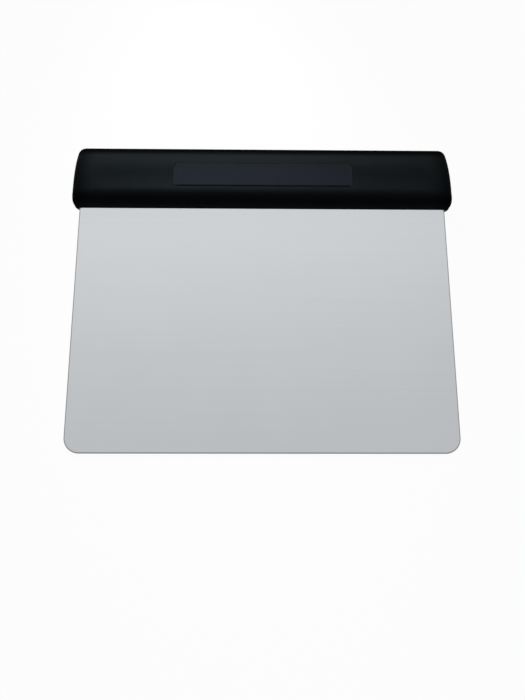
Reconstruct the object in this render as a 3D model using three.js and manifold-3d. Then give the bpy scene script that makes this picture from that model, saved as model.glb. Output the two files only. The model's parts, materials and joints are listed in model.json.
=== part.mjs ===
// Dough scraper: a stainless sheet blade whose tang is clamped between the two half shells of its handle.
// Millimetres. Each piece is modelled in the blade's own frame: X along the handle, Y from the scraping
// edge up to the handle, Z out of the labelled front. The tool is then laid on its back, front side up.

import * as THREE from "three";
import { ParametricGeometry } from "three/addons/geometries/ParametricGeometry.js";
import { mergeVertices } from "three/addons/utils/BufferGeometryUtils.js";
import Module from "manifold-3d";

// Blade
const bladeWidth = 150;
const bladeReach = 100; // scraping edge to the underside of the handle
const bladeThickness = 1;
const bladeCornerRadius = 6;
const tangCornerRadius = 3;

// Handle: one section along its length, widest just above the blade and narrowing to a round crown
const handleOverhang = 1.9; // handle beyond the blade at each end
const handleHeight = 27;
const handleThickness = 17.4;
const lowerEdgeRadius = 5;
const crownRadius = 4;
const endFillet = 3.6; // round of each end face where it meets the front, the back and the crown
const undersideFillet = 1.2; // the same where it meets the underside
const wall = 2.6;

// Finger groove, on the front and on the back, from the handle's widest line upwards
const grooveHeight = 12.2;
const grooveDepth = 1;
const grooveMargin = 0.4; // plain handle between the round of each end and the groove
const grooveRunOut = 10; // length over which the groove comes to its full depth

// Label plate: a blank plate in a pocket on the front, flush with the handle above and below the groove
const labelWidth = 72;
const labelHeight = 10.6;
const labelBottom = 6.6; // lower edge above the underside of the handle
const labelCornerRadius = 1.4;
const labelThickness = 2;

// Screws through the front shell and the tang into the rear shell, under the label plate
const screwNames = ["shell_screw_left", "shell_screw_middle", "shell_screw_right"];
const screwInset = 8; // outer screws from the ends of the label plate
const shankRadius = 1.45;
const tipLength = 1.6;
const headRadius = 2.7;
const headHeight = 1.6;
const driveWidth = 0.8;
const driveLength = 3.2;
const driveDepth = 0.9;

// Bosses, ribs and locating pegs inside the shells, and the bed behind the label pocket
const bossWall = 1.9;
const bedThickness = 1.6;
const ribThickness = 1.6;
const pegRadius = 2;
const pegInset = 18; // pegs from the ends of the handle
const pegPastTang = 3; // peg length in front of the tang

// Clearances
const fitGap = 0.3; // between pieces that meet
const tangHoleGap = 0.5; // around each screw in the tang
const tangHeadroom = 2.5; // above the tang, inside the crown

// Steps of the handle's round stretches, on its outside and in its hollow
const outerSteps = { lowerEdge: 6, groove: 8, band: 3, crown: 6, fillet: 4, runOut: 6 };
const innerSteps = { lowerEdge: 2, groove: 4, band: 1, crown: 3, fillet: 0, runOut: 3 };
const arcLimit = 0.9; // most of an arc's radius that a wall or fillet may take up
const holeSegments = 20;
const cornerSegments = 6;
const screwSegments = 16;
const screwHeadSteps = 3;

// Sizes that follow from those above
const halfLength = bladeWidth / 2 + handleOverhang;
const halfThickness = handleThickness / 2;
const crownRise = handleHeight - crownRadius - lowerEdgeRadius;
const faceRadius =
  (halfThickness ** 2 + crownRise ** 2 - crownRadius ** 2) / (2 * (halfThickness - crownRadius));
const faceSweep = Math.asin(crownRise / (faceRadius - crownRadius));
const grooveSweep = Math.asin(grooveHeight / faceRadius);
const tangFace = bladeThickness / 2;
const clampFace = tangFace + fitGap; // where bosses and ribs stop short of the tang
const tangWidth = 2 * (halfLength - wall - fitGap);
const tangTop = handleHeight - wall - tangHeadroom;
const wholeDepth = 2 * handleThickness; // long enough to reach through the handle

// The face's height above its own widest line gives its lean and how far forward it lies
const leanAt = (height) => Math.asin((height - lowerEdgeRadius) / faceRadius);
const faceAt = (height) => halfThickness - faceRadius * (1 - Math.cos(leanAt(height)));

const labelMiddle = labelBottom + labelHeight / 2;
const labelLean = leanAt(labelMiddle);
const pocketDepth = labelThickness + fitGap;
const screwHeight = labelMiddle - pocketDepth * Math.sin(labelLean);
const pocketFloor = faceAt(labelMiddle) - pocketDepth * Math.cos(labelLean);
const headTop = pocketFloor - headRadius * Math.tan(labelLean);
const screwSeat = headTop - headHeight;
const screwPitch = labelWidth / 2 - screwInset;
const screwPlaces = [-screwPitch, 0, screwPitch];
const pegPlace = halfLength - pegInset;
const pegPlaces = [-pegPlace, pegPlace];
const innerFace = faceAt(screwHeight) - grooveDepth - wall; // inside of the shell at the screws
const shankEnd = -innerFace + fitGap;
const ribPlaces = [screwPitch / 2, (screwPitch + pegPlace) / 2].flatMap((x) => [-x, x]);

const wasm = await Module();
wasm.setup();

// Closed geometry to a solid: shared points are merged, and triangles that fell together are dropped
function solid(geometry) {
  geometry.deleteAttribute("normal");
  geometry.deleteAttribute("uv");
  const merged = mergeVertices(geometry);
  const corners = [];
  for (let i = 0; i < merged.index.count; i += 3) {
    const [a, b, c] = merged.index.array.slice(i, i + 3);
    if (a !== b && b !== c && c !== a) corners.push(a, b, c);
  }
  const vertProperties = new Float32Array(merged.attributes.position.array);
  const triVerts = new Uint32Array(corners);
  return new wasm.Manifold(new wasm.Mesh({ numProp: 3, vertProperties, triVerts }));
}

// Solid to a named mesh with flat faces
function mesh(name, body, material) {
  const { vertProperties, triVerts } = body.getMesh();
  const geometry = new THREE.BufferGeometry();
  geometry.setAttribute("position", new THREE.BufferAttribute(vertProperties, 3));
  geometry.setIndex(new THREE.BufferAttribute(triVerts, 1));
  geometry.computeVertexNormals();
  const piece = new THREE.Mesh(geometry, material);
  piece.name = name;
  return piece;
}

// Box between two corners
function box([x0, y0, z0], [x1, y1, z1]) {
  const geometry = new THREE.BoxGeometry(x1 - x0, y1 - y0, z1 - z0);
  return solid(geometry.translate((x0 + x1) / 2, (y0 + y1) / 2, (z0 + z1) / 2));
}

// Round rod along Z, placed by its distance along the handle and its height above the underside
function rod(radius, x, height, z0, z1) {
  const geometry = new THREE.CylinderGeometry(radius, radius, z1 - z0, holeSegments);
  return solid(geometry.rotateX(Math.PI / 2).translate(x, bladeReach + height, (z0 + z1) / 2));
}

// Flat outline to a plate from z0 to z1
function plate(outline, z0, z1) {
  const options = { depth: z1 - z0, bevelEnabled: false, curveSegments: cornerSegments };
  return new THREE.ExtrudeGeometry(outline, options).translate(0, 0, z0);
}

// Front half of the handle's section, from the middle of the underside to the crown. Each point has its
// place, the direction out of the surface, the radius there and its share of the groove's depth.
function frontSection(steps) {
  const points = [{ z: 0, y: 0, outZ: 0, outY: -1, radius: Infinity, share: 0 }];
  const arc = (z, y, radius, from, to, count, shareAt = () => 0) => {
    for (let step = 0; step <= count; step++) {
      const angle = from + ((to - from) * step) / count;
      const [outZ, outY] = [Math.cos(angle), Math.sin(angle)];
      const share = shareAt(step / count);
      points.push({ z: z + radius * outZ, y: y + radius * outY, outZ, outY, radius, share });
    }
  };
  const hollow = (across) => 4 * across * (1 - across);
  const faceZ = halfThickness - faceRadius;
  const edgeZ = halfThickness - lowerEdgeRadius;
  arc(edgeZ, lowerEdgeRadius, lowerEdgeRadius, -Math.PI / 2, 0, steps.lowerEdge);
  points.pop();
  arc(faceZ, lowerEdgeRadius, faceRadius, 0, grooveSweep, steps.groove, hollow);
  points.pop();
  arc(faceZ, lowerEdgeRadius, faceRadius, grooveSweep, faceSweep, steps.band);
  points.pop();
  arc(0, handleHeight - crownRadius, crownRadius, faceSweep, Math.PI / 2, steps.crown);
  return points;
}

// Whole section: the front half and its mirror image, closed on its first point
function wholeSection(steps) {
  const front = frontSection(steps);
  const back = front.slice(1, -1).reverse();
  const mirrored = back.map((point) => ({ ...point, z: -point.z, outZ: -point.outZ }));
  return [...front, ...mirrored, front[0]];
}

// Stations along the handle: the middle of an end face, its fillet, the groove's run-out, and the same
// again at the other end. Round a fillet, shorten and drawIn are the shares of its radius by which the
// surface falls short of the end and of the section; along is the share of the groove's depth in length.
function stations(inset, steps) {
  const end = halfLength - inset;
  const right = [{ x: end, middle: true }];
  for (let step = 0; step <= steps.fillet; step++) {
    const angle = steps.fillet > 0 ? ((Math.PI / 2) * step) / steps.fillet : 0;
    right.push({ x: end, shorten: 1 - Math.cos(angle), drawIn: 1 - Math.sin(angle) });
  }
  for (let step = 0; step <= steps.runOut; step++) {
    const along = step / steps.runOut;
    const x = halfLength - endFillet - grooveMargin - grooveRunOut * along;
    right.push({ x, along: THREE.MathUtils.smoothstep(along, 0, 1) });
  }
  const left = right.map((station) => ({ ...station, x: -station.x })).reverse();
  return [...right, ...left];
}

// Handle body drawn in by the same inset all over, with its grooves this deep. Only the outside, which
// has no inset, is filleted at its ends: underneath is 1 on the underside and falls to 0 round the lower
// edge and at the crown. No arc is drawn in as far as its own centre.
function handleBody(inset, depth, steps) {
  const section = wholeSection(steps);
  const places = stations(inset, steps);
  const surface = (u, v, target) => {
    const point = section[Math.round(u * (section.length - 1))];
    const place = places[Math.round(v * (places.length - 1))];
    const { x, middle, shorten = 0, drawIn = 0, along = 0 } = place;
    const underneath = (1 - point.y / handleHeight) * (1 - point.outZ ** 2);
    const fillet = inset > 0 ? 0 : THREE.MathUtils.lerp(endFillet, undersideFillet, underneath);
    const drawn = Math.min(inset + fillet * drawIn, arcLimit * point.radius);
    const inwards = drawn + depth * along * point.share;
    const y = middle ? handleHeight / 2 : point.y - inwards * point.outY;
    const z = middle ? 0 : point.z - inwards * point.outZ;
    target.set(x - Math.sign(x) * fillet * shorten, bladeReach + y, z);
  };
  return solid(new ParametricGeometry(surface, section.length - 1, places.length - 1));
}

// Label outline, grown by a gap all round, as a prism that leans with the face
function labelPrism(gap, depth) {
  const [w, h] = [labelWidth / 2 + gap, labelHeight / 2 + gap];
  const r = labelCornerRadius + gap;
  const outline = new THREE.Shape();
  outline.absarc(w - r, h - r, r, 0, Math.PI / 2);
  outline.absarc(r - w, h - r, r, Math.PI / 2, Math.PI);
  outline.absarc(r - w, r - h, r, Math.PI, 1.5 * Math.PI);
  outline.absarc(w - r, r - h, r, 1.5 * Math.PI, 2 * Math.PI);
  const prism = plate(outline, -depth, handleThickness).rotateX(-labelLean);
  return solid(prism.translate(0, bladeReach + labelMiddle, faceAt(labelMiddle)));
}

// Blade: the plate below the handle joined to its narrower tang, which is holed for screws and pegs
function makeBlade() {
  const shoulder = bladeReach - fitGap;
  const [w, r] = [bladeWidth / 2, bladeCornerRadius];
  const plateOutline = new THREE.Shape();
  plateOutline.absarc(r - w, r, r, Math.PI, 1.5 * Math.PI);
  plateOutline.absarc(w - r, r, r, 1.5 * Math.PI, 2 * Math.PI);
  plateOutline.lineTo(w, shoulder);
  plateOutline.lineTo(-w, shoulder);
  const [t, q, top] = [tangWidth / 2, tangCornerRadius, bladeReach + tangTop];
  const tangOutline = new THREE.Shape();
  tangOutline.moveTo(-t, shoulder);
  tangOutline.lineTo(t, shoulder);
  tangOutline.absarc(t - q, top - q, q, 0, Math.PI / 2);
  tangOutline.absarc(q - t, top - q, q, Math.PI / 2, Math.PI);
  let body = solid(plate(plateOutline, -tangFace, tangFace));
  body = body.add(solid(plate(tangOutline, -tangFace, tangFace)));
  for (const x of screwPlaces) {
    body = body.subtract(rod(shankRadius + tangHoleGap, x, screwHeight, -clampFace, clampFace));
  }
  for (const x of pegPlaces) {
    body = body.subtract(rod(pegRadius + fitGap, x, screwHeight, -clampFace, clampFace));
  }
  return body;
}

const handle = handleBody(0, grooveDepth, outerSteps);
const plainHandle = handleBody(0, 0, outerSteps);
const cavity = handleBody(wall, grooveDepth, innerSteps);
const core = handleBody(wall / 2, grooveDepth, innerSteps); // reaches half way into the walls

// Hollow half of the handle on one side of the parting plane, with its ribs and the slot for the tang
function halfShell(side) {
  const outwardsFrom = (x, halfWidth, z) => {
    const [near, far] = [side * z, side * wholeDepth];
    const low = [x - halfWidth, bladeReach - handleHeight, Math.min(near, far)];
    const high = [x + halfWidth, bladeReach + 2 * handleHeight, Math.max(near, far)];
    return box(low, high);
  };
  let body = handle.intersect(outwardsFrom(0, bladeWidth, fitGap / 2)).subtract(cavity);
  for (const x of ribPlaces) {
    body = body.add(outwardsFrom(x, ribThickness / 2, clampFace).intersect(core));
  }
  const [slotX, slotZ] = [tangWidth / 2 + fitGap, clampFace];
  const slot = box([-slotX, bladeReach - wall, -slotZ], [slotX, bladeReach + 2 * wall, slotZ]);
  return body.subtract(slot);
}

// Front shell: a bed, bosses for the screw heads and sockets for the pegs, then the label pocket
function makeFrontShell() {
  let body = halfShell(1);
  const bed = labelPrism(bossWall, pocketDepth + bedThickness).intersect(core);
  body = body.add(bed);
  for (const x of screwPlaces) {
    const boss = rod(headRadius + fitGap + bossWall, x, screwHeight, clampFace, pocketFloor);
    body = body.add(boss.intersect(core));
  }
  for (const x of pegPlaces) {
    const boss = rod(pegRadius + fitGap + bossWall, x, screwHeight, clampFace, halfThickness);
    body = body.add(boss.intersect(core));
  }
  body = body.subtract(labelPrism(fitGap, pocketDepth));
  for (const x of screwPlaces) {
    body = body.subtract(rod(shankRadius + fitGap, x, screwHeight, 0, screwSeat));
    body = body.subtract(rod(headRadius + fitGap, x, screwHeight, screwSeat - fitGap, halfThickness));
  }
  for (const x of pegPlaces) {
    body = body.subtract(rod(pegRadius + fitGap, x, screwHeight, 0, clampFace + pegPastTang + fitGap));
  }
  return body;
}

// Rear shell: bosses that take the screws, and the locating pegs
function makeRearShell() {
  let body = halfShell(-1);
  for (const x of screwPlaces) {
    const boss = rod(shankRadius + fitGap + bossWall, x, screwHeight, -halfThickness, -clampFace);
    body = body.add(boss.intersect(core));
    body = body.subtract(rod(shankRadius + fitGap, x, screwHeight, shankEnd - fitGap, 0));
  }
  for (const x of pegPlaces) {
    const foot = rod(pegRadius + bossWall, x, screwHeight, -halfThickness, -clampFace);
    body = body.add(foot.intersect(core));
    body = body.add(rod(pegRadius, x, screwHeight, -innerFace, clampFace + pegPastTang));
  }
  return body;
}

// Screw: a domed pan head with a cross recess, a plain shank and a blunt point, turned about its axis
function makeScrew(x) {
  const shankLength = screwSeat - shankEnd;
  const profile = new THREE.Path();
  profile.moveTo(0, -shankLength);
  profile.lineTo(shankRadius / 2, -shankLength);
  profile.lineTo(shankRadius, tipLength - shankLength);
  profile.lineTo(shankRadius, 0);
  profile.lineTo(headRadius, 0);
  profile.lineTo(headRadius, headHeight / 2);
  profile.quadraticCurveTo(headRadius, headHeight, 0, headHeight);
  const geometry = new THREE.LatheGeometry(profile.getPoints(screwHeadSteps), screwSegments);
  geometry.rotateX(Math.PI / 2).translate(x, bladeReach + screwHeight, screwSeat);
  const [long, wide] = [driveLength / 2, driveWidth / 2];
  const y = bladeReach + screwHeight;
  const floor = headTop - driveDepth;
  const across = box([x - long, y - wide, floor], [x + long, y + wide, wholeDepth]);
  const upright = box([x - wide, y - long, floor], [x + wide, y + long, wholeDepth]);
  return solid(geometry).subtract(across).subtract(upright);
}

// Finishes
const steel = { color: 0xc6c8ca, roughness: 0.34, metalness: 1 };
const screwSteel = { color: 0x9a9c9f, roughness: 0.4, metalness: 1 };
const blackPlastic = { color: 0x1a1d1f, roughness: 0.55, metalness: 0 };
const labelPlastic = { color: 0x24272b, roughness: 0.48, metalness: 0 };
const finish = (look) => new THREE.MeshStandardMaterial(look);

const tool = new THREE.Group();
const rearShell = mesh("rear_shell", makeRearShell(), finish(blackPlastic));
tool.add(mesh("blade", makeBlade(), finish(steel)));
tool.add(mesh("front_shell", makeFrontShell(), finish(blackPlastic)));
tool.add(rearShell);
tool.add(mesh("label_plate", plainHandle.intersect(labelPrism(0, labelThickness)), finish(labelPlastic)));
screwPlaces.forEach((x, place) => tool.add(mesh(screwNames[place], makeScrew(x), finish(screwSteel))));

// On its back the tool rests on the back of the scraping edge and on the handle, so it is turned by the
// steepest line from that edge to any point of the rear shell.
const rest = rearShell.geometry.attributes.position;
for (let i = 0; i < rest.count; i++) {
  const drop = -tangFace - rest.getZ(i);
  tool.rotation.x = Math.max(tool.rotation.x, Math.atan2(drop, rest.getY(i)));
}

// The origin is under the middle of the tool, on the surface that it lies on
const extent = new THREE.Box3().setFromObject(tool, true);
const middle = extent.getCenter(new THREE.Vector3());
tool.position.set(-middle.x, -middle.y, -extent.min.z);

const scraper = new THREE.Group();
scraper.add(tool);

export default scraper;
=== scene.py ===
# Dough scraper: a satin steel blade in a matte black two-part handle with a blank label plate.
# Metres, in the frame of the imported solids. The tool lies on its back, labelled front up.

import json
import math
import bmesh
import bpy
import numpy as np
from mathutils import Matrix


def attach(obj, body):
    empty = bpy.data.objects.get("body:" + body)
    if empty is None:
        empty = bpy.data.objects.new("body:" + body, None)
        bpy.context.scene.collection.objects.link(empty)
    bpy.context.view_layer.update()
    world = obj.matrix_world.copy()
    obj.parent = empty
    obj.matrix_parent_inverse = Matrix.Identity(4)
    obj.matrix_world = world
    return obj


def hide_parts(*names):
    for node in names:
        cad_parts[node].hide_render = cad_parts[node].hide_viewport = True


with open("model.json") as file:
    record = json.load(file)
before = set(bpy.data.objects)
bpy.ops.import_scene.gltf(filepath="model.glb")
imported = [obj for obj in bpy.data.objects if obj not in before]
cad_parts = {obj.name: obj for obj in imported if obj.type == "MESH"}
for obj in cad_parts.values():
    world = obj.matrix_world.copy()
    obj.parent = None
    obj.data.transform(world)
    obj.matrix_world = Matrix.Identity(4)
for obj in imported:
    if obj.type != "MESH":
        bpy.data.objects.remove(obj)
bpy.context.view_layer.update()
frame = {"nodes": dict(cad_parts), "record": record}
mm = 0.001
quarterTurn = math.pi / 2
mergeDistance = 0.0004 * mm         # points closer than this become one
creaseAngle = math.radians(38)      # sharper edges stay hard
print("frame loaded:", ", ".join(sorted(frame["nodes"])))


# Blade: a sheet with rounded lower corners and a narrower tang inside the handle
bladeSizes = {
    "width": 150 * mm,
    "reach": 100 * mm,              # scraping edge to the underside of the handle
    "thickness": 1 * mm,
    "cornerRadius": 6 * mm,
    "edgeRound": 0.34 * mm,         # how far in from the outline the faces start to fall away
    "flatRing": 0.2 * mm,           # ring of flat sheet just inside the rounded edge
    "shoulderRise": 0.36 * mm,      # shoulders above the underside of the handle, just out of sight
    "shoulderRadius": 0.2 * mm,
    "tangWidth": 148 * mm,
    "tangHeight": 21.9 * mm,        # above the underside of the handle
    "tangCornerRadius": 3 * mm,
    "screwHoles": (-28 * mm, 0, 28 * mm),
    "screwHoleRadius": 1.95 * mm,
    "pegHoles": (-58.9 * mm, 58.9 * mm),
    "pegHoleRadius": 2.3 * mm,
    "holeHeight": 11.51 * mm,       # above the underside of the handle
    "arcSteps": 14,
    "holeSteps": 28,
    "edgeSteps": 12,
}

# the blade's own axes, taken from the mount in the middle of its front face
frontMount = next(m for m in frame["record"]["mounts"] if m["name"] == "blade_front_face")
acrossBlade = np.array([1.0, 0.0, 0.0])
outOfBlade = np.array(frontMount["axis"])
upBlade = np.cross(outOfBlade, acrossBlade)
edgeMiddle = np.array(frontMount["pos_m"]) - upBlade * bladeSizes["reach"] / 2
edgeMiddle = edgeMiddle - outOfBlade * bladeSizes["thickness"] / 2


# blade frame to world: the middle of the scraping edge plus each distance along its own axis
def inWorld(x, y, z):
    x, y, z = np.broadcast_arrays(x, y, z)
    return edgeMiddle + x[..., None] * acrossBlade + y[..., None] * upBlade + z[..., None] * outOfBlade


# quads between neighbouring rows and columns of a grid, closed round in the column direction if asked
def gridQuads(rows, columns, closed):
    index = np.arange(rows * columns).reshape(rows, columns)
    nextColumn = np.roll(index, -1, axis=1)
    quads = np.stack([index[:-1], nextColumn[:-1], nextColumn[1:], index[1:]], axis=-1)
    if not closed:
        quads = quads[:, :-1]
    return quads.reshape(-1, 4)


# writes the worked mesh to its piece, smooth but for creases, and reports it
def finishPiece(piece, work):
    openEdges = sum(not edge.is_manifold for edge in work.edges)
    volume = work.calc_volume(signed=True) / mm**3
    work.to_mesh(piece.data)
    work.free()
    piece.data.shade_smooth()
    piece.data.set_sharp_from_angle(angle=creaseAngle)
    print(f"{piece.name}: {len(piece.data.polygons)} faces, {openEdges} open edges, {volume:.0f} mm3")
    return piece


# points and quads to a closed piece: doubles merged, flat loops filled, faces outwards
def makePiece(name, points, quads, fillLoops=(), values=None):
    mesh = bpy.data.meshes.new(name)
    mesh.from_pydata(points.reshape(-1, 3).tolist(), [], quads.tolist())
    for valueName, value in (values or {}).items():
        attribute = mesh.attributes.new(valueName, "FLOAT", "POINT")
        attribute.data.foreach_set("value", np.ascontiguousarray(value, dtype=np.float32).ravel())
    work = bmesh.new()
    work.from_mesh(mesh)
    work.verts.ensure_lookup_table()
    for loops in fillLoops:
        pairs = [(a, b) for loop in loops for a, b in zip(loop, np.roll(loop, -1))]
        edges = [work.edges.get((work.verts[a], work.verts[b])) for a, b in pairs]
        bmesh.ops.triangle_fill(work, use_beauty=True, use_dissolve=False, edges=edges)
    bmesh.ops.remove_doubles(work, verts=work.verts, dist=mergeDistance)
    bmesh.ops.recalc_face_normals(work, faces=work.faces)
    if work.calc_volume(signed=True) < 0:
        bmesh.ops.reverse_faces(work, faces=work.faces)
    piece = bpy.data.objects.new(name, mesh)
    bpy.context.scene.collection.objects.link(piece)
    return finishPiece(piece, work)


# how far a quarter round of this radius lies below its flat side, at a distance in from its edge
def roundDrop(distance, radius):
    inside = np.clip(radius - distance, 0, radius)
    return radius - np.sqrt(radius**2 - inside**2)


# cubic from 0 to 1 with level ends
def smoothStep(value):
    value = np.clip(value, 0, 1)
    return value * value * (3 - 2 * value)


# outline with its corners rounded by arcs, and the direction out of it at each point. Each arc touches both
# sides of its corner, so its centre lies on the line that halves the angle.
def filletedOutline(corners, steps):
    corners = np.array(corners)
    places, radii = corners[:, :2], corners[:, 2]
    back = np.roll(places, 1, axis=0) - places
    ahead = np.roll(places, -1, axis=0) - places
    back /= np.linalg.norm(back, axis=1, keepdims=True)
    ahead /= np.linalg.norm(ahead, axis=1, keepdims=True)
    turn = np.sign(ahead[:, 0] * back[:, 1] - ahead[:, 1] * back[:, 0])     # 1 outward, -1 inward
    halfAngle = np.arccos(np.clip((back * ahead).sum(axis=1), -1, 1)) / 2
    bisector = back + ahead
    bisector /= np.linalg.norm(bisector, axis=1, keepdims=True)
    centres = places + bisector * (radii / np.sin(halfAngle))[:, None]
    middle = np.arctan2(-bisector[:, 1], -bisector[:, 0])
    sweep = (quarterTurn - halfAngle) * turn
    angles = middle[:, None] + sweep[:, None] * np.linspace(-1, 1, steps + 1)
    rays = np.stack([np.cos(angles), np.sin(angles)], axis=-1)
    points = centres[:, None] + rays * radii[:, None, None]
    outward = rays * turn[:, None, None]
    return points.reshape(-1, 2), outward.reshape(-1, 2)


# the outline, drawn in by e(1 - cos a) at height t sin a, so that the sheet's edge is a half ellipse. Each
# flat face is filled between this outline and the holes in the tang.
def makeBlade():
    s = bladeSizes
    halfWidth, halfTang = s["width"] / 2, s["tangWidth"] / 2
    shoulder, tangTop = s["reach"] + s["shoulderRise"], s["reach"] + s["tangHeight"]
    right = [
        (halfWidth, 0, s["cornerRadius"]),
        (halfWidth, shoulder, s["shoulderRadius"]),
        (halfTang, shoulder, s["shoulderRadius"]),
        (halfTang, tangTop, s["tangCornerRadius"]),
    ]
    left = [(-x, y, radius) for x, y, radius in reversed(right)]
    outline, outward = filletedOutline(right + left, s["arcSteps"])
    turn = np.linspace(-quarterTurn, quarterTurn, s["edgeSteps"] + 1)
    ring = [s["edgeRound"] + s["flatRing"]]
    inset = np.concatenate([ring, s["edgeRound"] * (1 - np.cos(turn)), ring])
    height = np.concatenate([[-1], np.sin(turn), [1]]) * s["thickness"] / 2
    rim = outline[None] - outward[None] * inset[:, None, None]
    points = [inWorld(rim[..., 0], rim[..., 1], height[:, None]).reshape(-1, 3)]
    quads = [gridQuads(len(inset), len(outline), True)]
    lastRow = (len(inset) - 1) * len(outline)
    backLoops, frontLoops = [np.arange(len(outline))], [np.arange(len(outline)) + lastRow]
    holes = [(x, s["screwHoleRadius"]) for x in s["screwHoles"]]
    holes += [(x, s["pegHoleRadius"]) for x in s["pegHoles"]]
    around = np.linspace(0, 2 * math.pi, s["holeSteps"], endpoint=False)
    start = len(points[0])
    for x, radius in holes:
        y = s["reach"] + s["holeHeight"] + radius * np.sin(around)
        wall = np.array([[-1], [1]]) * s["thickness"] / 2
        points.append(inWorld(x + radius * np.cos(around)[None], y[None], wall).reshape(-1, 3))
        quads.append(gridQuads(len(wall), len(around), True) + start)
        backLoops.append(np.arange(len(around)) + start)
        frontLoops.append(np.arange(len(around)) + start + len(around))
        start += 2 * len(around)
    points = np.concatenate(points)
    # painted shade: the rows of the rounded edge get a darker colour, for a dark line along the outline
    edgeShade = np.zeros(len(points))
    edgeShade[len(outline):lastRow] = 1
    loops = [backLoops, frontLoops]
    return makePiece("satin_blade", points, np.concatenate(quads), loops, {"edgeShade": edgeShade})


# Handle: one section along its length. Its front runs from the flat underside round a lower arc, up a wide
# face arc that leans back, and over the crown arc; the back is its mirror image.
handleSizes = {
    "length": 153.8 * mm,
    "height": 26.98 * mm,
    "thickness": 17.37 * mm,
    "lowerEdgeRadius": 5 * mm,
    "crownRadius": 4 * mm,
    "endFillet": 3.6 * mm,          # round of the end faces towards the front, the back and the crown
    "undersideFillet": 1.2 * mm,    # the same towards the underside
    "rearFootRise": 5.6 * mm,       # how far in the rear half's end fillet reaches at the underside
    "wall": 2.6 * mm,
    "grooveHeight": 12.2 * mm,
    "grooveDepth": 0.75 * mm,
    "grooveDeepest": 0.42,          # share of the groove's height, from below, where it is deepest
    "grooveMargin": 0.4 * mm,       # plain handle between the end round and the groove
    "grooveRunOut": 10 * mm,
    "seamGap": 0.004 * mm,          # between the two half shells
    "seamRound": 0.16 * mm,
    "slotHalfWidth": 0.6 * mm,      # slot for the blade, from the middle of the sheet
    "slotHalfLength": 75.2 * mm,
    "bedThickness": 1.6 * mm,       # extra wall behind the label pocket,
    "bedGrowth": 0.54 * mm,         # past the plate's edge,
    "bedFade": 2 * mm,              # and fading over this
    "footUnshaded": 0.36,              # share of the face colour on the underside, darkened by painted shade,
    "crownUnshaded": 0.02,             # on the crown
    "endUnshaded": 0.3,                # and round the end faces
    "footShadeSpan": (0.9 * mm, 4.3 * mm),     # heights over which it grows to full,
    "crownShadeSpan": (24.6 * mm, 21.0 * mm),  # the same from the crown down,
    "endShadeSpan": (0.6 * mm, 9.0 * mm),     # and distances from the ends
}
labelSizes = {
    "width": 72 * mm,
    "height": 10.6 * mm,
    "bottom": 6.6 * mm,             # lower edge above the underside of the handle
    "cornerRadius": 1.4 * mm,
    "thickness": 2 * mm,
    "gap": 0.18 * mm,               # to the pocket at the ends and below
    "topGrowth": 0.14 * mm,         # the plate's upper edge lies closer to the pocket than the others
    "footSink": 0.06 * mm,          # its lower edge lies this far below the face arc
    "bowShare": -0.3,               # its bow as a share of the face arc's: slightly dished
    "edgeRound": 0.16 * mm,
    "lipRound": 0.12 * mm,          # of the pocket's mouth
    "sidePoints": 13,
    "runPoints": 9,
    "cornerPoints": 9,
    "roundSteps": 6,
    "faceSteps": 11,
    "backSteps": 5,
}
halfLength = handleSizes["length"] / 2
halfThickness = handleSizes["thickness"] / 2
lowerRadius, crownRadius = handleSizes["lowerEdgeRadius"], handleSizes["crownRadius"]
crownRise = handleSizes["height"] - crownRadius - lowerRadius
faceRadius = (halfThickness**2 + crownRise**2 - crownRadius**2) / (2 * (halfThickness - crownRadius))
faceSweep = math.asin(crownRise / (faceRadius - crownRadius))
grooveSweep = math.asin(handleSizes["grooveHeight"] / faceRadius)
labelMiddle = labelSizes["bottom"] + labelSizes["height"] / 2
labelLean = math.asin((labelMiddle - lowerRadius) / faceRadius)
labelFace = halfThickness - faceRadius * (1 - math.cos(labelLean))
pocketDepth = labelSizes["thickness"] + labelSizes["gap"]


# distance outside the label's rounded rectangle, grown by a margin, and below nought inside it: the distance
# from the rectangle through the centres of the corners, less the corner radius
def labelDistance(x, up, grow):
    radius = labelSizes["cornerRadius"] + grow
    pastX = np.abs(x) - (labelSizes["width"] / 2 + grow - radius)
    pastUp = np.abs(up) - (labelSizes["height"] / 2 + grow - radius)
    outside = np.hypot(np.maximum(pastX, 0), np.maximum(pastUp, 0))
    return outside + np.minimum(np.maximum(pastX, pastUp), 0) - radius


# depth of the finger groove as a share, at a share of its height: a parabola from a crisp lower edge down to
# its deepest line, then a squared cosine that runs out softly at the upper edge
def grooveShare(across):
    deepest = handleSizes["grooveDeepest"]
    below = 1 - (1 - across / deepest) ** 2
    above = np.cos(quarterTurn * (across - deepest) / (1 - deepest)) ** 2
    return np.where(across < deepest, below, above)


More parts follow.
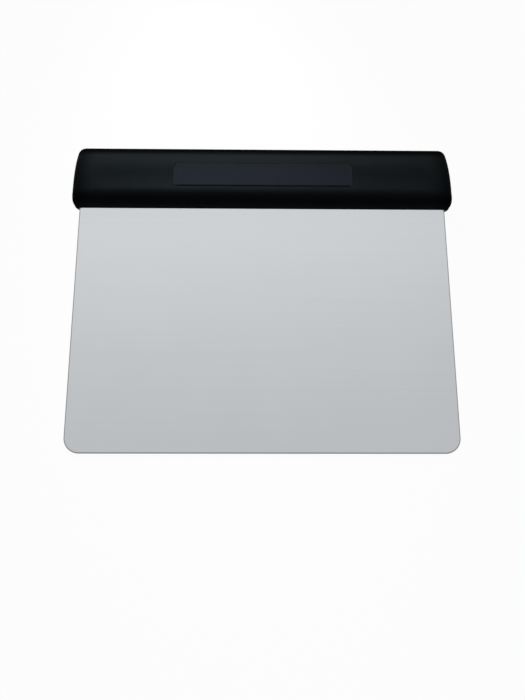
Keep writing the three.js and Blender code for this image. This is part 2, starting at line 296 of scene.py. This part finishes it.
# section of one half, drawn in by an inset, row by row: the seam's round, the flat underside, then the lower,
# face and crown arcs up to the seam again. A seam row holds its distance from the slot, a flat row its share
# of the flat, and an arc row its place: the centre plus the radius times (cos, sin) of its angle.
def halfSection(inset, faceAngles, steps):
    s = handleSizes
    edgeZ = halfThickness - lowerRadius
    seam = s["seamRound"] * (1 - np.cos(np.linspace(0, quarterTurn, steps["seam"] + 1)))
    flat = np.linspace(0, 1, steps["flat"] + 1)[1:-1]
    lower = np.linspace(-quarterTurn, 0, steps["lower"] + 1)[:-1]
    crownEnd = math.acos((s["seamGap"] / 2 + seam[-1]) / (crownRadius - inset))
    crown = np.linspace(faceSweep, crownEnd, steps["crown"] + 1)[1:]
    last = np.arccos((s["seamGap"] / 2 + seam[:-1][::-1]) / (crownRadius - inset))
    angles = np.concatenate([lower, faceAngles, crown, last])
    counts = [len(lower), len(faceAngles), len(crown) + len(last)]
    radius = np.repeat([lowerRadius, faceRadius, crownRadius], counts) - inset
    centreZ = np.repeat([edgeZ, halfThickness - faceRadius, 0], counts)
    centreY = np.repeat([lowerRadius, lowerRadius, s["height"] - crownRadius], counts)
    across = np.clip(angles / grooveSweep, 0, 1)
    count = len(seam) + len(flat)
    return {
        "seam": np.concatenate([seam, np.full(len(flat) + len(angles), np.nan)]),
        "flat": np.concatenate([np.full(len(seam), np.nan), flat, np.full(len(angles), np.nan)]),
        "z": np.concatenate([np.zeros(count), centreZ + radius * np.cos(angles)]),
        "y": np.concatenate([np.full(count, inset), centreY + radius * np.sin(angles)]),
        "outZ": np.concatenate([np.zeros(count), np.cos(angles)]),
        "outY": np.concatenate([np.full(count, -1.0), np.sin(angles)]),
        "groove": np.concatenate([np.zeros(count), grooveShare(across)]),
        "edgeZ": edgeZ,
    }


# rows and columns of the half shells: shares of a stretch, places and counts
shellGrid = {
    "endRings": (0, 0.25, 0.5, 0.75, 0.92),         # of an end face, from its middle
    "margin": (0.17, 0.187, 0.45, 0.75, 1.0),       # the slot for the blade ends between the first two
    "filletSteps": 9,
    "runOutSteps": 18,
    "outer": {"seam": 5, "flat": 4, "lower": 14, "crown": 16},
    "inner": {"seam": 0, "flat": 2, "lower": 5, "crown": 5},
    "innerFaceSteps": 12,
    "bandSteps": 8,                 # on the face above the groove
    "frontGrooveSteps": 6,          # besides the rows of the pocket
    "rearGrooveSteps": 24,
    "pocketSpacing": 0.085 * mm,    # of rows and columns along the pocket's edge,
    "pocketStart": -0.3 * mm,       # from just outside it
    "floorReach": 2.6 * mm,         # rows on the pocket's floor, to both sides of its middle
    "floorSteps": 5,
    "evenStart": 61 * mm,           # outermost column of the even stretch
    "pocketOutside": 39 * mm,       # last column outside the pocket
    "pocketInside": 32 * mm,        # first column on its floor
    "outsideSteps": 9,
    "insideSteps": 11,
    "rearSteps": 27,
}


# stations from the middle of the right end face inwards: rings of the end face, its fillet, the plain margin,
# the groove's run-out, and the even stretch to the middle of the handle
def halfStations(evenPlaces):
    s = handleSizes
    rings, margin = np.array(shellGrid["endRings"]), np.array(shellGrid["margin"])
    fillet = np.linspace(0, quarterTurn, shellGrid["filletSteps"] + 1)
    runOut = np.linspace(0, 1, shellGrid["runOutSteps"] + 1)[1:]
    counts = [len(rings), len(fillet), len(margin), len(runOut), len(evenPlaces)]

    def join(*parts):
        return np.concatenate([np.broadcast_to(part, count) for part, count in zip(parts, counts)])

    runOutX = halfLength - s["endFillet"] - s["grooveMargin"] - s["grooveRunOut"] * runOut
    return {
        "ring": join(rings, 1, 1, 1, 1),
        "shorten": join(0, 1 - np.cos(fillet), 1, 1, 1),
        "drawIn": join(1, 1 - np.sin(fillet), 0, 0, 0),
        "endFacing": join(1, np.cos(fillet), 0, 0, 0),
        "margin": join(0, 0, margin, 1, 1),
        "x": join(np.nan, np.nan, np.nan, runOutX, evenPlaces),
        "along": join(0, 0, 0, smoothStep(runOut), 1),
    }


# surface of one half: the section's rows along the stations. Round an end fillet of length r and rise h, at
# angle a, the surface falls short of the end by r(1 - cos a) and of the section by h(1 - sin a). r is the end
# fillet and falls to the underside's fillet as a row turns underneath, and h is r. On the rear half, away
# from the seam, r stays the end fillet and h grows downwards to the foot's rise. An inner surface has a flat
# end.
def halfSurface(section, stations, inset, front):
    s = handleSizes
    row = {key: np.asarray(value)[..., None] for key, value in section.items()}
    underneath = (1 - row["y"] / s["height"]) * (1 - row["outZ"] ** 2)
    awayFromSeam = smoothStep(np.where(np.isnan(row["flat"]), row["z"] / row["edgeZ"], row["flat"]))
    awayFromSeam = 0 * underneath if front else awayFromSeam
    foot = s["undersideFillet"] + (s["endFillet"] - s["undersideFillet"]) * awayFromSeam
    fillet = s["endFillet"] + (foot - s["endFillet"]) * underneath
    rise = fillet + (s["rearFootRise"] - fillet) * (1 - row["y"] / s["height"]) * awayFromSeam
    end = halfLength - inset
    x = end - fillet * stations["shorten"]
    x = x - stations["margin"] * (s["endFillet"] + s["grooveMargin"] - fillet)
    x = np.where(np.isnan(stations["x"]), x, stations["x"])
    if inset:       # flat end
        x = np.minimum(np.where(stations["endFacing"] > 0, end, x), end)
    slot = np.where(x < s["slotHalfLength"], s["slotHalfWidth"], s["seamGap"] / 2)
    isSeam, isFlat = ~np.isnan(row["seam"]), ~np.isnan(row["flat"])
    border = np.where(isSeam | isFlat, slot, s["seamGap"] / 2)
    flatStart = slot + (0 if inset else s["seamRound"])
    z = np.where(isFlat, flatStart + row["flat"] * (row["edgeZ"] - flatStart), row["z"])
    z = np.where(isSeam, slot + np.nan_to_num(row["seam"]), z)
    y = row["y"] + 0 * z
    drawn = s["grooveDepth"] * stations["along"] * row["groove"]
    if not inset:
        drawn = drawn + rise * stations["drawIn"]
    y = y - drawn * row["outY"]
    z = np.maximum(z - drawn * row["outZ"], border)
    poleY = s["height"] / 2         # the rings of an end face shrink to its middle
    y = poleY + (y - poleY) * stations["ring"]
    z = slot + (z - slot) * stations["ring"]
    if not inset:       # rounded edge along the seam
        drop = roundDrop(z - border, s["seamRound"])
        sideFacing = np.sqrt(1 - stations["endFacing"] ** 2)
        x = x - drop * stations["endFacing"]
        y = y - drop * sideFacing * row["outY"]
        z = np.maximum(z - drop * sideFacing * row["outZ"], border)
    return x + 0 * z, y, z


# the right half of a surface and its mirror image, from end to end
def bothEnds(x, y, z):
    x = np.concatenate([x, -x[:, ::-1]], axis=1)
    y = np.concatenate([y, y[:, ::-1]], axis=1)
    z = np.concatenate([z, z[:, ::-1]], axis=1)
    return x, y, z


# pocket of the label plate: straight down into the leaning face to a flat floor, with a rounded mouth
def sinkPocket(x, y, z):
    up = (y - labelMiddle) * math.cos(labelLean) - (z - labelFace) * math.sin(labelLean)
    out = (y - labelMiddle) * math.sin(labelLean) + (z - labelFace) * math.cos(labelLean)
    distance = labelDistance(x, up, labelSizes["gap"])
    sunk = out - roundDrop(distance, labelSizes["lipRound"])
    sunk = np.where(distance < 0, -pocketDepth, sunk)
    move = sunk - out
    return x, y + move * math.sin(labelLean), z + move * math.cos(labelLean)


# smooth change from the least share to 1 over a span
def fadeIn(value, span, least):
    return least + (1 - least) * smoothStep((value - span[0]) / (span[1] - span[0]))


# share of the face colour: 1 on the grip's face, less on the crown, underside and end rims round it, which
# are painted darker as shade
def unshadedShare(x, y):
    s = handleSizes
    fromFoot = fadeIn(y, s["footShadeSpan"], s["footUnshaded"])
    fromCrown = fadeIn(y, s["crownShadeSpan"], s["crownUnshaded"])
    return fromFoot * fromCrown * fadeIn(halfLength - np.abs(x), s["endShadeSpan"], s["endUnshaded"])


# Fixings inside the handle, turned about axes square to the blade: bosses that clamp the tang, a stepped well
# for each screw, and the rear half's pegs with their sockets in the front half. Heights are from the sheet's
# middle.
fixingSizes = {
    "clampFace": 0.55 * mm,         # ends of the bosses, at the tang
    "bedRoot": 4.6 * mm,            # where bosses end inside the bed behind the label pocket
    "wallRoot": 6.3 * mm,           # and inside the plain wall
    "bossWall": 1.9 * mm,
    "shankRadius": 1.6 * mm,        # of the screw's hole
    "shankEnd": 4.5 * mm,
    "headRadius": 3 * mm,           # of the well for its head
    "seat": 3.75 * mm,
    "wellTop": 7.2 * mm,            # in the open pocket, above its floor
    "pegRadius": 2 * mm,
    "pegEnd": 3.8 * mm,
    "pegChamfer": 0.4 * mm,
    "socketGap": 0.3 * mm,
    "steps": 36,
}


# closed solids: each profile of (radius, height) pairs is turned at each of its places along the blade
def turnedSolids(name, profiles, side):
    around = np.linspace(0, 2 * math.pi, fixingSizes["steps"], endpoint=False)
    points, quads, start = [], [], 0
    for profile, places in profiles:
        radius, height = np.array(profile).T[..., None]
        for place in places:
            y = bladeSizes["reach"] + bladeSizes["holeHeight"] + radius * np.sin(around)
            points.append(inWorld(place + radius * np.cos(around), y, height * side).reshape(-1, 3))
            quads.append(gridQuads(len(profile), len(around), True) + start)
            start += len(points[-1])
    return makePiece(name, np.concatenate(points), np.concatenate(quads))


# profile of a plain rod
def rod(radius, low, high):
    return [(0, low), (radius, low), (radius, high), (0, high)]


# profiles that are joined to a half shell and cut out of it, each with its places
def fixingProfiles(front):
    s = fixingSizes
    screws, pegs = bladeSizes["screwHoles"], bladeSizes["pegHoles"]
    if front:
        socket = s["pegRadius"] + s["socketGap"]
        well = rod(s["shankRadius"], 0, s["seat"])[:3] + rod(s["headRadius"], s["seat"], s["wellTop"])[1:]
        joined = [(rod(s["headRadius"] + s["bossWall"], s["clampFace"], s["bedRoot"]), screws),
                  (rod(socket + s["bossWall"], s["clampFace"], s["wallRoot"]), pegs)]
        cut = [(well, screws), (rod(socket, 0, s["pegEnd"] + s["socketGap"]), pegs)]
    else:
        tip = [(0, -s["pegEnd"]), (s["pegRadius"] - s["pegChamfer"], -s["pegEnd"])]
        shaft = [(s["pegRadius"], s["pegChamfer"] - s["pegEnd"]), (s["pegRadius"], s["clampFace"])]
        foot = rod(s["pegRadius"] + s["bossWall"], s["clampFace"], s["wallRoot"])[1:]
        joined = [(rod(s["shankRadius"] + s["bossWall"], s["clampFace"], s["wallRoot"]), screws),
                  (tip + shaft + foot, pegs)]
        cut = [(rod(s["shankRadius"], 0, s["shankEnd"]), screws)]
    return {"UNION": joined, "DIFFERENCE": cut}


# joins the fixings to a half shell and cuts their holes, then takes out slivers and many-sided faces
def fitOut(piece, side):
    for operation, profiles in fixingProfiles(side > 0).items():
        solids = turnedSolids(f"{piece.name}_{operation.lower()}", profiles, side)
        modifier = piece.modifiers.new("fixings", "BOOLEAN")
        modifier.object = solids
        modifier.operation = operation
        modifier.solver = "EXACT"
        shaped = piece.evaluated_get(bpy.context.evaluated_depsgraph_get())
        piece.data = bpy.data.meshes.new_from_object(shaped)
        piece.modifiers.clear()
        bpy.data.objects.remove(solids)
    work = bmesh.new()
    work.from_mesh(piece.data)
    bmesh.ops.dissolve_degenerate(work, dist=mergeDistance, edges=work.edges)
    bmesh.ops.triangulate(work, faces=[face for face in work.faces if len(face.verts) > 4])
    return finishPiece(piece, work)


# one half of the handle: its outer surface and, a wall inside it, its inner one, closed along the seam
def makeShell(name, side):
    front, grid, wall = side > 0, shellGrid, handleSizes["wall"]
    band = np.linspace(grooveSweep, faceSweep, grid["bandSteps"] + 1)[1:]
    if front:
        gap = labelSizes["gap"]
        edge = np.arange(grid["pocketStart"], labelSizes["cornerRadius"] + gap, grid["pocketSpacing"])
        upperRows = labelSizes["height"] / 2 + gap - edge
        floorRows = np.linspace(-grid["floorReach"], grid["floorReach"], grid["floorSteps"] + 1)
        pocketRows = np.concatenate([-upperRows, floorRows, upperRows[::-1]])
        grooveRows = np.linspace(0, grooveSweep, grid["frontGrooveSteps"] + 1)
        faceAngles = np.union1d(labelLean + np.arcsin(pocketRows / faceRadius), grooveRows)
        faceAngles = np.union1d(faceAngles[(faceAngles >= 0) & (faceAngles < band[0])], band)
        evenPlaces = np.concatenate([
            np.linspace(grid["evenStart"], grid["pocketOutside"], grid["outsideSteps"] + 1),
            labelSizes["width"] / 2 + gap - edge,
            np.linspace(grid["pocketInside"], 0, grid["insideSteps"] + 1),
        ])
    else:
        faceAngles = np.concatenate([np.linspace(0, grooveSweep, grid["rearGrooveSteps"] + 1), band])
        evenPlaces = np.linspace(grid["evenStart"], 0, grid["rearSteps"] + 1)
    stations = halfStations(evenPlaces)
    outer = halfSection(0, faceAngles, grid["outer"])
    x, y, z = bothEnds(*halfSurface(outer, stations, 0, front))
    inner = halfSection(wall, np.linspace(0, faceSweep, grid["innerFaceSteps"] + 1), grid["inner"])
    innerX, innerY, innerZ = halfSurface(inner, stations, wall, front)
    if front:
        x, y, z = sinkPocket(x, y, z)
        inBed = -labelDistance(innerX, innerY - labelMiddle, handleSizes["bedGrowth"])
        bed = handleSizes["bedThickness"] * smoothStep(inBed / handleSizes["bedFade"] + 1)
        innerZ = np.where(bed > 0, np.maximum(innerZ - bed, handleSizes["slotHalfWidth"]), innerZ)
    innerX, innerY, innerZ = bothEnds(innerX, innerY, innerZ)
    ring = np.concatenate([stations["ring"], stations["ring"][::-1]])
    # painted shade: this share darkens the crown, underside and end rims towards the rim colour
    grain = 1 - (1 - unshadedShare(x, y)) * ring**2        # full again in the middle of the end faces
    grain = np.concatenate([grain, 0 * innerX]).T
    x = np.concatenate([x, innerX[::-1]])
    y = np.concatenate([y, innerY[::-1]]) + bladeSizes["reach"]
    z = np.concatenate([z, innerZ[::-1]]) * side
    points = inWorld(x, y, z).transpose(1, 0, 2)
    quads = gridQuads(points.shape[0], points.shape[1], True)
    return fitOut(makePiece(name, points, quads, values={"grain": grain}), side)


# Label plate: rings of one rounded rectangle, drawn in step by step to a line. At height s the face arc lies
# R - sqrt(R^2 - s^2) behind its middle tangent. The front has a share of that bow, its upper edge lies on the
# arc and its lower edge a little below it, and all its edges are quarter rounds.
def makeLabelPlate():
    s = labelSizes
    rise = np.linspace(-1, 1, s["sidePoints"])
    run = np.linspace(-1, 1, s["runPoints"])
    quarter = np.linspace(0, quarterTurn, s["cornerPoints"])
    stretches = [       # sides and corners of the core rectangle in turn, with their facing
        (1, rise, 0), (1, 1, quarter),
        (run[::-1], 1, quarterTurn), (-1, 1, quarter + quarterTurn),
        (-1, rise[::-1], 2 * quarterTurn), (-1, -1, quarter + 2 * quarterTurn),
        (run, -1, 3 * quarterTurn), (1, -1, quarter + 3 * quarterTurn),
    ]
    coreX, coreY, angle = np.concatenate([np.stack(np.broadcast_arrays(*part)) for part in stretches], axis=1)
    edge = s["edgeRound"]
    halfHeight = s["height"] / 2
    roundIn = edge * (1 - np.cos(np.linspace(0, quarterTurn, s["roundSteps"] + 1)))
    faceIn = np.concatenate([roundIn, np.linspace(edge, halfHeight, s["faceSteps"] + 1)[1:]])
    backIn = np.linspace(halfHeight, 0, s["backSteps"] + 1)
    inset = np.concatenate([backIn, faceIn])[:, None]
    radius = np.maximum(s["cornerRadius"] - inset, 0)
    x = coreX * (s["width"] / 2 - inset - radius) + radius * np.cos(angle)
    up = coreY * (halfHeight - inset - radius) + radius * np.sin(angle)
    edgeBow = faceRadius - math.sqrt(faceRadius**2 - halfHeight**2)
    bow = edgeBow + s["bowShare"] * (faceRadius - np.sqrt(faceRadius**2 - up**2) - edgeBow)
    isBack = (np.arange(len(inset)) < len(backIn))[:, None]
    sink = s["footSink"] * (halfHeight - up) / s["height"]
    out = np.where(isBack, -s["thickness"], -bow - sink - roundDrop(inset, edge))
    up = up + s["topGrowth"] * (up + halfHeight) / s["height"]
    y = bladeSizes["reach"] + labelMiddle + up * math.cos(labelLean) + out * math.sin(labelLean)
    z = labelFace - up * math.sin(labelLean) + out * math.cos(labelLean)
    points = inWorld(x, y, z)
    return makePiece("blank_label", points, gridQuads(points.shape[0], points.shape[1], True))


# Materials, with noise on Object coordinates
noiseSpan = (0.3, 0.7)      # most of a noise lies between these


def newMaterial(name):
    material = bpy.data.materials.new(name)
    material.use_nodes = True
    return material, material.node_tree


# node with its settings, then its inputs: a socket is linked and a plain value is set
def addNode(tree, kind, inputs=None, **settings):
    node = tree.nodes.new(kind)
    for key, value in settings.items():
        setattr(node, key, value)
    for key, value in (inputs or {}).items():
        if isinstance(value, bpy.types.NodeSocket):
            tree.links.new(value, node.inputs[key])
        else:
            node.inputs[key].default_value = value
    return node


# noise on Object coordinates, stretched by a scale of its own along each axis
def objectNoise(tree, scale, detail, roughness):
    place = addNode(tree, "ShaderNodeTexCoord").outputs["Object"]
    mapping = addNode(tree, "ShaderNodeMapping", {"Vector": place, "Scale": scale})
    inputs = {"Vector": mapping.outputs[0], "Scale": 1.0, "Detail": detail, "Roughness": roughness}
    return addNode(tree, "ShaderNodeTexNoise", inputs).outputs["Fac"]


# linear change from one span to another, held at its ends
def remap(tree, value, fromSpan, toSpan):
    inputs = {"Value": value, "From Min": fromSpan[0], "From Max": fromSpan[1]}
    inputs |= {"To Min": toSpan[0], "To Max": toSpan[1]}
    return addNode(tree, "ShaderNodeMapRange", inputs).outputs["Result"]


# mix of two colours; this kind of node has them in its sockets 6 and 7 and the result in 2
def mixColour(tree, share, first, second):
    colours = [c if isinstance(c, bpy.types.NodeSocket) else (*c, 1) for c in (first, second)]
    inputs = {0: share, 6: colours[0], 7: colours[1]}
    return addNode(tree, "ShaderNodeMix", inputs, data_type="RGBA").outputs[2]


def combine(tree, operation, first, second):
    return addNode(tree, "ShaderNodeMath", {0: first, 1: second}, operation=operation).outputs[0]


# sum of two values, each times its share
def blend(tree, first, second, shares):
    first = combine(tree, "MULTIPLY", first, shares[0])
    second = combine(tree, "MULTIPLY", second, shares[1])
    return combine(tree, "ADD", first, second)


def bump(tree, height, look):
    inputs = {"Height": height, "Strength": look["bumpStrength"], "Distance": look["bumpDepth"]}
    return addNode(tree, "ShaderNodeBump", inputs).outputs["Normal"]


steelLook = {
    "dark": (0.450, 0.464, 0.479),
    "light": (0.469, 0.483, 0.498),
    "edgeShade": (0.22, 0.225, 0.23),      # the sheet's rounded edge, painted darker as shade along the outline
    "roughness": (0.37, 0.43),
    "grain": {"scale": (30, 5200, 5200), "detail": 3, "roughness": 0.5},        # fine lines along the blade
    "streaks": {"scale": (9, 900, 900), "detail": 2, "roughness": 0.5},
    "clouds": {"scale": (26, 20, 20), "detail": 3, "roughness": 0.55},
    "toneShares": (0.45, 0.55),         # of streaks and clouds
    "glossShares": (0.4, 0.6),          # of grain and clouds
    "bumpStrength": 0.12,
    "bumpDepth": 0.02 * mm,
}


def satinSteel():
    look = steelLook
    material, tree = newMaterial("satin steel")
    shader = tree.nodes["Principled BSDF"]
    grain = objectNoise(tree, **look["grain"])
    streaks = objectNoise(tree, **look["streaks"])
    clouds = objectNoise(tree, **look["clouds"])
    tone = remap(tree, blend(tree, streaks, clouds, look["toneShares"]), noiseSpan, (0, 1))
    colour = mixColour(tree, tone, look["dark"], look["light"])
    # painted shade along the sheet's rounded edge
    edgeShade = addNode(tree, "ShaderNodeAttribute", attribute_name="edgeShade").outputs["Fac"]
    colour = mixColour(tree, edgeShade, colour, look["edgeShade"])
    gloss = blend(tree, grain, clouds, look["glossShares"])
    tree.links.new(colour, shader.inputs["Base Color"])
    tree.links.new(remap(tree, gloss, noiseSpan, look["roughness"]), shader.inputs["Roughness"])
    tree.links.new(bump(tree, grain, look), shader.inputs["Normal"])
    shader.inputs["Metallic"].default_value = 1
    return material


plasticLook = {
    "dark": (0.0066, 0.0088, 0.0100),
    "light": (0.0084, 0.0110, 0.0126),
    "rim": (0.0003, 0.0004, 0.0005),    # painted shade on the crown, underside and end rims
    "roughness": (0.54, 0.66),
    "rimRoughness": 1.0,
    "specular": 0.025,
    "grain": {"scale": (1 / (0.22 * mm),) * 3, "detail": 2, "roughness": 0.6},
    "clouds": {"scale": (60, 60, 60), "detail": 4, "roughness": 0.6},
    "glossShares": (0.5, 0.5),          # of grain and clouds
    "bumpStrength": 0.25,
    "bumpDepth": 0.05 * mm,
}
labelLook = {
    "dark": (0.0100, 0.0122, 0.0168),
    "light": (0.0114, 0.0139, 0.0190),
    "roughness": (0.46, 0.54),
    "specular": 0.04,
    "grain": {"scale": (1 / (0.4 * mm),) * 3, "detail": 2, "roughness": 0.6},
    "clouds": {"scale": (60, 60, 60), "detail": 4, "roughness": 0.6},
    "glossShares": (0.5, 0.5),
    "bumpStrength": 0.08,
    "bumpDepth": 0.05 * mm,
}


def blackPlastic(name, look):
    material, tree = newMaterial(name)
    shader = tree.nodes["Principled BSDF"]
    grain = objectNoise(tree, **look["grain"])
    clouds = objectNoise(tree, **look["clouds"])
    colour = mixColour(tree, remap(tree, clouds, noiseSpan, (0, 1)), look["dark"], look["light"])
    gloss = blend(tree, grain, clouds, look["glossShares"])
    roughness = remap(tree, gloss, noiseSpan, look["roughness"])
    # painted shade: the grain attribute darkens the rims towards the rim colour, and makes them rougher
    if "rim" in look:
        share = addNode(tree, "ShaderNodeAttribute", attribute_name="grain").outputs["Fac"]
        colour = mixColour(tree, share, look["rim"], colour)
        roughness = remap(tree, share, (0, 1), (look["rimRoughness"], roughness))
    tree.links.new(colour, shader.inputs["Base Color"])
    tree.links.new(roughness, shader.inputs["Roughness"])
    tree.links.new(bump(tree, grain, look), shader.inputs["Normal"])
    shader.inputs["Specular IOR Level"].default_value = look["specular"]
    return material


zincLook = {
    "dark": (0.36, 0.365, 0.37),
    "light": (0.47, 0.475, 0.48),
    "roughness": (0.34, 0.5),
    "flakes": {"scale": (2500, 2500, 2500), "detail": 3, "roughness": 0.5},
    "bumpStrength": 0.15,
    "bumpDepth": 0.02 * mm,
}


def zincPlate():
    look = zincLook
    material, tree = newMaterial("zinc plate")
    shader = tree.nodes["Principled BSDF"]
    flakes = objectNoise(tree, **look["flakes"])
    tree.links.new(mixColour(tree, flakes, look["dark"], look["light"]), shader.inputs["Base Color"])
    tree.links.new(remap(tree, flakes, noiseSpan, look["roughness"]), shader.inputs["Roughness"])
    tree.links.new(bump(tree, flakes, look), shader.inputs["Normal"])
    shader.inputs["Metallic"].default_value = 1
    return material


# gives a piece its finish, hangs it on the root and hides the solid that it stands for
def dress(piece, node, material):
    piece.data.materials.clear()
    piece.data.materials.append(material)
    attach(piece, "root")
    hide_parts(node)


handleBlack = blackPlastic("matte black plastic", plasticLook)
dress(makeBlade(), "blade", satinSteel())
frontHalf = makeShell("front_half", 1)
rearHalf = makeShell("rear_half", -1)
blankLabel = makeLabelPlate()
dress(frontHalf, "front_shell", handleBlack)
dress(rearHalf, "rear_shell", handleBlack)
dress(blankLabel, "label_plate", blackPlastic("label plastic", labelLook))
for piece in (frontHalf, rearHalf, blankLabel):
    piece.visible_glossy = False    # the satin blade shows no mirror image of the handle
zinc = zincPlate()
for node in ("shell_screw_left", "shell_screw_middle", "shell_screw_right"):
    screw = frame["nodes"][node]
    screw.data.materials.clear()
    screw.data.materials.append(zinc)
print("pieces dressed")


# Stage: a white floor that keeps the shadow, an overhead softbox that the blade mirrors, and a low key light
stageLook = {
    "floorSize": 6.0,
    "floorColour": (0.95, 0.95, 0.95),
    "floorWhite": 0.96,             # share of plain white that the camera and mirrors see in the floor
    "worldColour": (0.93, 0.96, 1.0),
    "worldStrength": 0.22,          # of the light that it gives; the camera and mirrors see it white
}
lamps = {
    "overhead": {
        "place": (-0.08, 0.75, 0.85),
        "aim": (0, 0, 0),
        "size": (1.4, 1.2),
        "glow": 0.6,                # 1 shows as white
        "spread": 180,
        "mirrored": True,
    },
    "key": {
        "place": (-0.06, 0.36, 0.17),
        "aim": (-0.018, 0.05, 0.01),
        "size": (0.06, 0.06),
        "glow": 7.0,
        "spread": 32,
        "mirrored": False,
    },
}


# 1 where the camera or a mirror sees the background, 0 for the light that it gives
def seenOrMirrored(tree):
    path = addNode(tree, "ShaderNodeLightPath").outputs
    seen = combine(tree, "MAXIMUM", path["Is Camera Ray"], path["Is Glossy Ray"])
    return combine(tree, "MAXIMUM", seen, path["Is Transmission Ray"])


def makeFloor():
    half = stageLook["floorSize"] / 2
    across = [-half, 0, half]
    x, y = np.meshgrid(across, across)
    points = np.stack([x, y, 0 * x], axis=-1)
    quads = gridQuads(len(across), len(across), False)
    mesh = bpy.data.meshes.new("floor")
    mesh.from_pydata(points.reshape(-1, 3).tolist(), [], quads.tolist())
    floor = bpy.data.objects.new("floor", mesh)
    bpy.context.scene.collection.objects.link(floor)
    material, tree = newMaterial("white floor")
    tree.nodes.clear()
    diffuse = addNode(tree, "ShaderNodeBsdfDiffuse", {"Color": (*stageLook["floorColour"], 1)})
    white = addNode(tree, "ShaderNodeEmission", {"Color": (1, 1, 1, 1), "Strength": 1.0})
    share = combine(tree, "MULTIPLY", seenOrMirrored(tree), stageLook["floorWhite"])
    mix = addNode(tree, "ShaderNodeMixShader", {0: share, 1: diffuse.outputs[0], 2: white.outputs[0]})
    addNode(tree, "ShaderNodeOutputMaterial", {"Surface": mix.outputs[0]})
    mesh.materials.append(material)


def makeWorld():
    world = bpy.data.worlds.new("studio")
    world.use_nodes = True
    bpy.context.scene.world = world
    tree = world.node_tree
    tree.nodes.clear()
    inputs = {"Color": (*stageLook["worldColour"], 1), "Strength": stageLook["worldStrength"]}
    ambient = addNode(tree, "ShaderNodeBackground", inputs).outputs[0]
    white = addNode(tree, "ShaderNodeBackground", {"Color": (1, 1, 1, 1), "Strength": 1.0}).outputs[0]
    mix = addNode(tree, "ShaderNodeMixShader", {0: seenOrMirrored(tree), 1: ambient, 2: white})
    addNode(tree, "ShaderNodeOutputWorld", {"Surface": mix.outputs[0]})


def makeLamp(name, look):
    data = bpy.data.lights.new(name, "AREA")
    data.shape = "RECTANGLE"
    data.size, data.size_y = look["size"]
    data.energy = look["glow"] * math.pi * data.size * data.size_y      # the power that gives this glow
    data.spread = math.radians(look["spread"])
    lamp = bpy.data.objects.new(name, data)
    bpy.context.scene.collection.objects.link(lamp)
    toAim = np.array(look["aim"]) - np.array(look["place"])
    lamp.location = look["place"]
    lean = math.atan2(math.hypot(toAim[0], toAim[1]), -toAim[2])
    lamp.rotation_euler = (lean, 0, math.atan2(-toAim[0], toAim[1]))
    lamp.visible_camera = False
    lamp.visible_glossy = look["mirrored"]


makeFloor()
for name, look in lamps.items():
    makeLamp(name, look)
makeWorld()
print("stage set")


# Camera at the photograph's viewing angle: the lens and place come from a fit of the tool's outline
photoCamera = {
    "place": (-0.00428, -0.11422, 0.26516),
    "tilt": 19.210,                 # degrees, about X, from looking straight down
    "roll": -0.871,
    "turn": -0.125,
    "lens": 36.51,                  # millimetres, like the sensor along the image's long side
    "sensor": 36,
    "clipStart": 0.01,
}
cameraData = bpy.data.cameras.new("photo camera")
cameraData.lens = photoCamera["lens"]
cameraData.sensor_width = photoCamera["sensor"]
cameraData.clip_start = photoCamera["clipStart"]
camera = bpy.data.objects.new("photo camera", cameraData)
bpy.context.scene.collection.objects.link(camera)
camera.location = photoCamera["place"]
camera.rotation_euler = [math.radians(photoCamera[key]) for key in ("tilt", "roll", "turn")]
bpy.context.scene.camera = camera
bpy.context.scene.view_settings.view_transform = "Standard"
